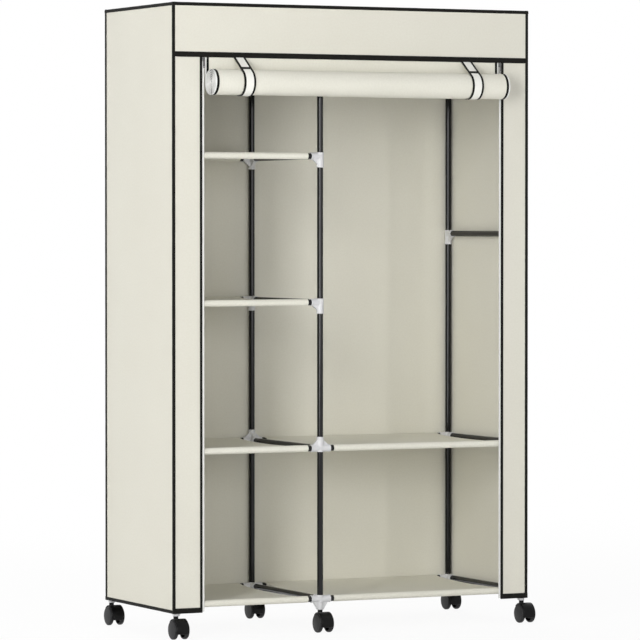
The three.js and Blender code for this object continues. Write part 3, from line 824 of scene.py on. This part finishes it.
# Cover
def panel_grid(corner, first, second, width, height, seed, out):
    """A taut panel from one corner, hardly waved inside its bound edges and drawn by its seams."""
    step = 14 * MM
    u = np.linspace(0, width, int(width / step) + 2)[None, :]
    v = np.linspace(0, height, int(height / step) + 2)[:, None]
    edge = np.minimum(np.minimum(u, width - u), np.minimum(v, height - v))
    inside = np.clip(edge / (90 * MM), 0, 1) ** 1.5
    lift = inside * waves(u, v, seed, 620 * MM, 0.8 * MM)
    pucker = np.exp(-edge / (22 * MM)) * np.clip(edge / (6 * MM), 0, 1)
    lift = lift + pucker * waves(u, v, seed + 50, 75 * MM, 0.22 * MM)
    flat = np.array(corner) + u[:, :, None] * np.array(first) + v[:, :, None] * np.array(second)
    return flat + lift[:, :, None] * np.array(out)


def make_panel(node, corner, first, second, size, seed, out, held, rests_on, going):
    grid = panel_grid(corner, first, second, *size, seed, out)
    piece = finish(node + "_cloth", sheet(grid, cloth), cover_cloth, "cover_cloth", [node])
    declared.append((piece, size, held, rests_on, going))


def make_cover():
    half = cloth / 2
    wide = right_x - left_x
    deep = far_y - near_y
    tall = top_z - hem_z
    roof = ["cover_roof_cloth"]
    make_panel("cover_roof", (left_x, near_y, top_z - half), X, Y, (wide, deep), 31, Z, "stretched",
               ["top_rail_left_front_tube", "top_rail_left_back_tube", "rung_centre_top_connectors"],
               ["binding_roof", "stitches_roof"])
    make_panel("cover_back", (left_x, far_y - half, hem_z), X, Z, (wide, tall), 32, Y, "hung", roof,
               ["binding_hem", "stitches_hem"])
    make_panel("cover_side_left", (left_x + half, near_y, hem_z), Y, Z, (deep, tall), 33, -X, "hung", roof,
               ["binding_corners", "stitches_corners"])
    make_panel("cover_side_right", (right_x - half, near_y, hem_z), Y, Z, (deep, tall), 34, X, "hung", roof,
               [])
    front = (wide - 2 * valance_inset, top_z - valance_inset - valance_z)
    make_panel("valance", (left_x + valance_inset, near_y - half, valance_z), X, Z, front, 35, -Y,
               "hung", roof, ["binding_valance", "stitches_valance"])
    flap = (right_x - opening_x, valance_z + tucked_behind_valance - hem_z)
    going = {"left": [], "right": ["binding_opening", "stitches_opening"]}
    for seed, (side, x) in enumerate((("left", left_x), ("right", opening_x))):
        make_panel("front_flap_" + side, (x, near_y + half, hem_z), X, Z, flap, 36 + seed, -Y, "hung",
                   ["valance_cloth"], [f"zip_tape_{side}", f"zip_teeth_{side}", *going[side]])


def edge_tape(width, both_sides=True):
    """The profile of tape folded over a cut edge: width on the face, round the edge, back on the reverse.
    Its first direction runs into the panel, its second one out of its face."""
    bend = (cloth + tape) / 2 + tape_slack
    face = [(width, bend * 0.9)] + [(width * s, bend) for s in (0.9, 0.55, 0.2)]
    if not both_sides:
        return face + arc((0.4 * MM, 0), bend, 80, 190, 5)
    return face + arc((0.4 * MM, 0), bend, 80, 280, 8) + [(width * s, -bend) for s in (0.25, 0.6, 1.0)]


def corner_tape(width):
    """The profile of tape folded over a sewn corner, from one face round to the other."""
    radius = 2.2 * MM
    out = 0.3 * MM + tape / 2
    legs = [(-width, out * 0.8), (-width * 0.85, out), (-width * 0.5, out + 0.15 * MM)]
    bend = arc((-radius, -radius), radius + out, 90, 0, 6)
    return legs + bend + [(b, a) for a, b in legs[::-1]]


def corner_runs():
    """The tapes down the corners, the front left one first."""
    for seed, (sx, sy) in enumerate(((-1, -1), (-1, 1), (1, -1), (1, 1))):
        x = right_x if sx > 0 else left_x
        y = far_y if sy > 0 else near_y
        width = back_corner_width if sy > 0 else right_corner_width if sx > 0 else front_left_width
        grid = run_of(corner_tape(width), (x, y, hem_z - tape), (x, y, top_z), X * sx, Y * sy,
                      wobble=0.12 * MM, seed=seed)
        yield grid if sx * sy > 0 else grid[::-1]


def roof_runs():
    """The tapes round the roof, from the front left corner to the right."""
    corners = [(left_x, near_y), (right_x, near_y), (right_x, far_y), (left_x, far_y)]
    for seed, (out, start) in enumerate(zip((-Y, X, Y, -X), corners)):
        end = corners[(seed + 1) % 4]
        yield run_of(corner_tape(roof_width), (*start, top_z), (*end, top_z), out, Z,
                     wobble=0.12 * MM, seed=10 + seed)


def hem_runs():
    """The tapes along the hems of the right side, the back, the left side and the two flaps."""
    half = cloth / 2
    hems = [((right_x - half, near_y), (right_x - half, far_y), X, hem_width),
            ((right_x, far_y - half), (left_x, far_y - half), Y, hem_width),
            ((left_x + half, far_y), (left_x + half, near_y), -X, hem_width),
            ((left_x, near_y + half), (-opening_x, near_y + half), -Y, front_hem_width),
            ((opening_x, near_y + half), (right_x, near_y + half), -Y, front_hem_width)]
    for seed, (start, end, out, width) in enumerate(hems):
        yield run_of(edge_tape(width), (*start, hem_z), (*end, hem_z), Z, out,
                     wobble=0.15 * MM, seed=20 + seed)


def valance_run():
    """The tape on the valance's lower edge, between the corner tapes."""
    y, z = near_y - cloth / 2, valance_z + tape
    return run_of(edge_tape(front_hem_width, False), (left_x + front_left_width, y, z),
                  (right_x - right_corner_width, y, z), Z, -Y, wobble=0.15 * MM, seed=30)


def opening_runs():
    """The tapes up both sides of the opening."""
    y = near_y + cloth / 2
    for _, sign in SIDES:
        edge = sign * opening_x
        yield run_of(edge_tape(opening_width), (edge, y, hem_z), (edge, y, valance_z + 10 * MM), X * sign, -Y,
                     wobble=0.1 * MM, seed=40 + sign)


def make_bindings():
    """The dark tapes, with a line of stitches beside each of their edges."""
    runs = {"corners": corner_runs(), "roof": roof_runs(), "hem": hem_runs(), "valance": [valance_run()],
            "opening": opening_runs()}
    for name, grids in runs.items():
        grids = list(grids)
        finish(f"binding_{name}", united([sheet(grid, tape) for grid in grids]), binding_tape, "binding",
               ["cover_binding"])
        for grid in grids:
            for row in (1,) if name == "valance" else (1, len(grid) - 2):
                sew(name, "black", grid[row] + outwards(grid)[row] * tape * stitch_lift)


# Zippers
def make_zip_tapes():
    """White tape sewn behind each flap, with nylon teeth on its free edge."""
    y = near_y + cloth + 0.5 * MM
    for side, sign in SIDES:
        outer = sign * (opening_x + 9 * MM)
        inner = sign * tape_x
        profile = [(inner + (outer - inner) * s, 0) for s in np.linspace(0, 1, 6)]
        low, high = hem_z + 2 * MM, valance_z + 12 * MM
        grid = run_of(profile, (0, y, low), (0, y, high), X, Y, 10 * MM, 0.1 * MM, 60)
        finish(f"zip_tape_{side}", sheet(grid, 0.6 * MM), zip_tape, "cover_cloth", ["front_flap_" + side])
        zs = np.linspace(hem_z + 4 * MM, valance_z, 200)
        line = [(inner + sign * 0.4 * MM, y - 0.7 * MM, z) for z in zs]
        beads(f"zip_teeth_{side}", [line], tooth_pitch, (1.3, 2.6, 1.3), zip_nylon, "cover_cloth")


def flat_piece(points_mm, half):
    """A plate of an outline given in millimetres, across the front, half as thick to each side."""
    return plate([(a * MM, b * MM) for a, b in points_mm], X, Z, -half, half)


def make_sliders():
    shield = [(-2.4, -5.5), (2.4, -5.5), (3.2, -3), (4.05, 2.5), (3.6, 5.5), (-3.6, 5.5), (-4.05, 2.5),
              (-3.2, -3)]
    post = [(-0.9, -5), (0.9, -5), (0.9, 5), (-0.9, 5)]
    ring = arc((0, 0), 4.4 * MM, 0, 180, 12) + arc((0, 0), 3.0 * MM, 180, 0, 12)
    bridge = plate([(b * 0.72, a) for a, b in ring], -Y, Z, -1 * MM, 1 * MM)
    for side, sign in SIDES:
        low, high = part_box(f"zipper_slider_{side}")
        x, _, z = (low + high) / 2
        front = low.y + 3.4 * MM
        meshes = [rounded(moved(flat_piece(shield, half), (x, y, z)), 0.45 * MM)
                  for half, y in ((0.9 * MM, front + 0.9 * MM), (0.6 * MM, high.y - 0.6 * MM))]
        meshes.append(moved(flat_piece(post, 1.2 * MM), (x - sign * 3.0 * MM, (front + high.y) / 2, z)))
        meshes.append(rounded(moved(bridge, (x, front + 0.2 * MM, z)), 0.3 * MM))
        finish(f"zip_slider_{side}", united([facing(m) for m in meshes]), zinc, "zipper",
               [f"zipper_slider_{side}"], f"slider_{side}")
        pull_low, pull_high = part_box(f"zipper_pull_{side}")
        pivot = (x, (pull_low.y + pull_high.y) / 2, pull_high.z - 0.6 * MM)
        length = (pivot[2] - pull_low.z) / MM
        tip = arc((0, 2.7 - length), 2.7, 0, -180, 12)
        outline = [(-1.9, 0.4), (1.9, 0.4), (2.3, -2), *tip, (-2.3, -2)]
        eye = flat_piece([(-1.3, -5.4), (1.3, -5.4), (1.3, -0.7), (-1.3, -0.7)], 2 * MM)
        hole = rod("y", -2 * MM, 2 * MM, 1.3 * MM, (0, 0, (3.4 - length) * MM), 16)
        blade = rounded(drilled(flat_piece(outline, 0.5 * MM), eye, hole), 0.25 * MM)
        finish(f"zip_pull_{side}", moved(blade, pivot), zinc, "zipper", [f"zipper_pull_{side}"],
               f"pull_{side}")


# Rolled door and its straps
roll_axis = Vector((0, door_high.y - cad_cloth / 2 - roll_radius, valance_z - door_hang))
door_drop = roll_axis.z - hem_z
roll_pitch = math.pi * (roll_radius ** 2 - core_radius ** 2) / door_drop
strap_x = axis_of("door_strap_right").x


def slack(x, angle):
    """How far the rolled cloth lies in from an even spiral: soft flats along it, and a waist at a strap."""
    flats = 0.45 * MM * np.sin(2 * angle + 5 * x) + 0.35 * MM * np.sin(3 * angle - 9 * x + 1.0)
    flats = flats + 0.3 * MM * np.sin(x * 31 + angle) * np.sin(x * 17 + 2.0)
    waist = sum(np.exp(-((x - side * strap_x) / (26 * MM)) ** 2) for side in (-1, 1))
    return flats * (1 - waist) + 0.7 * MM * waist


def roll_grid(ends, cols, uneven=0.0):
    """The rolled door's cloth between its two ends, as a grid of points. Its turns stand out and in by the
    amount uneven, as cloth rolled by hand does at its ends."""
    left, right = sorted(ends)
    mesh = grown(roll_tree, Left=left, Right=right, Hang=door_hang + tucked_behind_valance,
                 Length=door_drop, Radius=roll_radius, Pitch=roll_pitch, Axis=tuple(roll_axis),
                 Rows=door_rows, Columns=cols, Finish=door_cloth)
    points = np.zeros(len(mesh.vertices) * 3)
    mesh.vertices.foreach_get("co", points)
    grid = points.reshape(cols, door_rows, 3)
    away = grid - np.array(roll_axis)
    away[:, :, 0] = 0
    hanging = np.abs(grid[:, :, 1] - roll_axis.y - roll_radius) < 1e-6
    hanging &= grid[:, :, 2] > roll_axis.z
    far = np.linalg.norm(away, axis=2, keepdims=True)
    angle = np.arctan2(-away[:, :, 2], away[:, :, 1])
    inwards = slack(grid[:, :, 0], angle) * far[:, :, 0] / roll_radius
    inwards = np.where(hanging, 0.0, inwards)
    start = np.clip(np.arange(door_rows) / door_rows * 30 - 1.2, 0, 1)[None, :]
    grid = grid - away / np.maximum(far, 1e-9) * (inwards * start)[:, :, None]
    turns = (roll_radius - far[:, :, 0]) / roll_pitch
    wander = 0.5 - 0.5 * np.cos(math.pi * np.maximum(turns - 0.8, 0))
    grid[:, :, 0] -= uneven * np.where(hanging, 0.0, wander * start)
    return grid


def make_door():
    cloth_edge = door_half - 4 * MM
    grid = roll_grid((-cloth_edge, cloth_edge), 64)
    piece = finish("door_panel_cloth", sheet(grid, cloth), door_cloth, "door_cloth", ["door_panel"])
    going = []
    for side, sign in SIDES:
        uneven = sign * roll_unevenness
        ends = (sign * (cloth_edge - opening_width), sign * (cloth_edge + 0.3 * MM))
        edge = sheet(roll_grid(ends, 4, uneven), cloth + 1.1 * MM)
        going.append(finish(f"door_binding_{side}", edge, binding_tape, "binding"))
        strip = roll_grid((sign * (cloth_edge - 2 * MM), sign * door_half), 4, uneven)
        going.append(finish(f"door_zip_tape_{side}", sheet(strip, 1.0 * MM), zip_tape, "door_cloth"))
        line = strip[0 if sign < 0 else -1] + np.array([sign * 0.4 * MM, 0, 0])
        going.append(beads(f"door_zip_teeth_{side}", [line], tooth_pitch, (1.4, 1.2, 1.3), zip_nylon,
                           "door_cloth"))
    size = (2 * cloth_edge, door_drop + door_hang + tucked_behind_valance)
    holders = ["valance_cloth", "door_strap_left_cloth", "door_strap_right_cloth"]
    declared.append((piece, size, "hung", holders, going))


def strap_path():
    """From the valance's hem down to the roll, round its front and underside, and up behind it."""
    clear = cad_cloth / 2 + 0.3 * MM + 0.75 * MM
    hook = Vector((near_y - cloth / 2, valance_z + tape))
    centre = Vector((roll_axis.y, roll_axis.z))
    reach = roll_radius - roll_pitch / 2 + clear
    span = hook - centre
    lift = math.atan2(span.y, span.x)
    tangent = 2 * math.pi - lift - math.acos(reach / span.length)
    round_roll = []
    for i in range(49):
        angle = tangent * (1 - i / 48)
        radius = roll_radius - roll_pitch * angle / (2 * math.pi) + clear
        round_roll.append((centre.x + radius * math.cos(angle), centre.y - radius * math.sin(angle)))
    first = Vector(round_roll[0])
    straight = [tuple(hook.lerp(first, i / 14)) for i in range(14)]
    tail_y = roll_axis.y + roll_radius + clear
    return straight + round_roll + [(tail_y, roll_axis.z + i * 6 * MM) for i in range(1, 15)]


def make_straps():
    profile = strap_path()
    size = (strap_width, length_of(profile))
    half = strap_width / 2

    def band(from_x, to_x):
        return run_of(profile, (min(from_x, to_x), 0, 0), (max(from_x, to_x), 0, 0), Y, Z, 2 * MM)

    for side, sign in SIDES:
        middle = sign * strap_x
        low, high = middle - half, middle + half
        piece = finish(f"door_strap_{side}_cloth", sheet(band(low, high), 0.9 * MM), strap_cloth, "strap",
                       ["door_strap_" + side])
        strips = [band(low, low + strap_binding), band(high - strap_binding, high)]
        edges = [sheet(strip, 1.9 * MM) for strip in strips]
        cross = strips[-1][10:13, :1] * np.array([0, 1, 1])
        bar = np.concatenate([cross + np.array([x, 0, 0]) for x in np.linspace(low, high, 9)], axis=1)
        edges.append(sheet(bar, 2.1 * MM))
        bound = finish(f"door_strap_{side}_binding", united(edges), binding_tape, "binding")
        declared.append((piece, size, "hung", ["valance_cloth", "door_panel_cloth"], [bound]))


# Casters
def caster_hood():
    """The swivelling moulding over both wheels, as fender, web, hub and collar, and its collar's top."""
    axle = (-caster_trail, wheel_radius)
    inner = wheel_radius + hood_gap
    outer = inner + hood_wall
    outline = arc(axle, outer, hood_from, hood_to, 56) + arc(axle, inner, hood_to, hood_from, 56)
    half = hood_width / 2
    fender = rounded(plate(outline, Y, Z, -half, half), 1.3 * MM, 3, 50)
    web_outline = arc(axle, (inner + outer) / 2, hood_from, hood_to, 40) + [axle]
    web = plate(web_outline, Y, Z, -web_half, web_half)
    hub = rod("x", -hub_half, hub_half, hub_radius, (0, *axle))
    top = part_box("rung_left_bottom")[0].z - 0.3 * MM
    low = wheel_radius + math.sqrt(inner ** 2 - (caster_trail - collar_radius) ** 2)
    flare = [(1.4, -2.0), (0.7, 1.6), (0, 2.6)]
    rim = 0.4 * MM
    turned = [(0, low - 2 * MM), *[(collar_radius + a * MM, low + b * MM) for a, b in flare],
              (collar_radius, top - rim), (collar_radius - rim, top), (0, top)]
    return united([fender, web, hub, lathe(turned, "z", ORIGIN)]), top


def caster_wheels():
    """Two wheels on one axle, each with a domed face, a tread with rounded edges and a hollow inner side."""
    face = caster_width / 2
    inside = face - wheel_thickness
    rim = wheel_radius - tread_rounding
    dome_edge = face - wheel_dome
    side = [(rim * s, face - wheel_dome * s ** 2) for s in (0.0, 0.25, 0.5, 0.7, 0.85)]
    side += [(rim + b, dome_edge - tread_rounding + a) for a, b in arc((0, 0), tread_rounding, 0, 90, 6)]
    side += [(rim + b, inside + tread_rounding - a) for a, b in arc((0, 0), tread_rounding, 90, 0, 6)]
    floor = inside + wheel_hollow
    side += [(rim - 0.6 * MM, inside), (rim - 1.4 * MM, floor), (hub_radius, floor),
             (hub_radius - 0.5 * MM, inside), (0, inside)]
    place = (0, -caster_trail, wheel_radius)
    return united([lathe([(r, way * a) for r, a in side], "x", place, 72) for way in (-1, 1)])


def make_casters():
    hood, top = caster_hood()
    wheels = caster_wheels()
    stem = rod("z", top - 4 * MM, top + 19.5 * MM, 5 * MM)
    reach = hub_half + 1 * MM
    axle = rod("x", -reach, reach, 3.9 * MM, (0, -caster_trail, wheel_radius))
    for column, x in columns.items():
        for end, y in ends_y:
            place = (x, y, 0)
            key = f"{column}_{end}"
            swivels, rolls = f"caster_{key}", f"wheels_{key}"
            finish(f"caster_hood_{key}_moulding", moved(hood, place), hood_moulding, "caster_hood",
                   [f"caster_hood_{key}"], swivels, 30)
            finish(f"caster_stem_{key}", moved(stem, place), plated_steel, "caster_hood", [], swivels)
            finish(f"caster_wheels_{key}_moulding", moved(wheels, place), wheel_moulding, "caster_wheel",
                   [f"caster_wheels_{key}"], rolls, 40)
            finish(f"caster_axle_{key}", moved(axle, place), plated_steel, "caster_wheel", [], rolls)


def make_stitches():
    """Thread on every seam, as one piece for each kind of seam."""
    size_mm = [s / MM for s in (stitch_length, thread_width, thread_width * 0.8)]
    for name, (colour, lines) in seams.items():
        thread, slot = (black_thread, "binding") if colour == "black" else (white_thread, "shelf_cloth")
        beads(f"stitches_{name}", lines, stitch_pitch, size_mm, thread, slot)


# Stage
def seen_rays(tree):
    """1 for what the camera, a mirror or a clear body sees, and 0 for what lights a matt surface."""
    path = add(tree, "ShaderNodeLightPath")
    seen = path.outputs["Is Camera Ray"]
    for ray in ("Is Glossy Ray", "Is Transmission Ray"):
        either = add(tree, "ShaderNodeMath", {"operation": "MAXIMUM"}, {0: seen, 1: path.outputs[ray]})
        seen = either.outputs[0]
    return seen


def make_stage():
    """A floor and a world that are white to look at, though the light from them stays plain."""
    square = [(x * floor_half, y * floor_half) for x, y in ((-1, -1), (1, -1), (1, 1), (-1, 1))]
    white = paint("ffffff")
    material, tree, where, _ = new_material("pale_paper")
    matt = add(tree, "ShaderNodeBsdfDiffuse", {}, {"Color": white})
    glow = add(tree, "ShaderNodeEmission", {}, {"Color": white, "Strength": 1.0})
    away = add(tree, "ShaderNodeVectorMath", {"operation": "LENGTH"}, {0: where})
    near, far = shadow_reach
    fade = add(tree, "ShaderNodeMapRange", {"interpolation_type": "SMOOTHSTEP"},
               {"Value": away.outputs["Value"], "From Min": near, "From Max": far, "To Min": floor_glow,
                "To Max": 1.0})
    share = add(tree, "ShaderNodeMath", {"operation": "MULTIPLY"}, {0: seen_rays(tree), 1: fade.outputs[0]})
    mixed = add(tree, "ShaderNodeMixShader", {}, {0: share.outputs[0], 1: matt.outputs[0],
                                                  2: glow.outputs[0]})
    add(tree, "ShaderNodeOutputMaterial", {}, {"Surface": mixed.outputs[0]})
    put("floor", plate(square, X, Y, -20 * MM, 0), material)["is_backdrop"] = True
    world = bpy.data.worlds.new("studio")
    bpy.context.scene.world = world
    world.use_nodes = True
    tree = world.node_tree
    tree.nodes.clear()
    strength = add(tree, "ShaderNodeMapRange", {}, {"Value": seen_rays(tree), "To Min": world_light,
                                                    "To Max": 1.0})
    back = add(tree, "ShaderNodeBackground", {}, {"Color": white, "Strength": strength.outputs[0]})
    add(tree, "ShaderNodeOutputWorld", {}, {"Surface": back.outputs[0]})


def make_lamp(name, place, target, size, power):
    lamp = bpy.data.lights.new(name, "AREA")
    lamp.shape = "RECTANGLE"
    lamp.size, lamp.size_y = size
    lamp.energy = power
    holder = in_scene(name, lamp)
    holder.location = place
    holder.rotation_euler = (Vector(target) - Vector(place)).to_track_quat("-Z", "Y").to_euler()


def make_camera():
    camera = bpy.data.cameras.new("camera")
    camera.sensor_width = 36
    camera.lens = camera_lens
    camera.clip_end = 100
    holder = in_scene("camera", camera)
    holder.location = camera_place
    holder.rotation_euler = (math.radians(camera_tilt), 0, math.radians(camera_turn))
    bpy.context.scene.camera = holder


make_tubes()
make_rungs()
make_shelves()
make_cover()
make_bindings()
make_zip_tapes()
make_sliders()
make_door()
make_straps()
make_casters()
make_stitches()

for piece, size, held, rests_on, going in declared:
    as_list(rests_on)
    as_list(going)

make_stage()
for lamp in lamps:
    make_lamp(*lamp)
make_camera()
bpy.context.scene.view_settings.view_transform = "Standard"

boxes = {"cad": cad_box, "visual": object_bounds()}
{key: [[float(v) for v in corner] for corner in box] for key, box in boxes.items()}
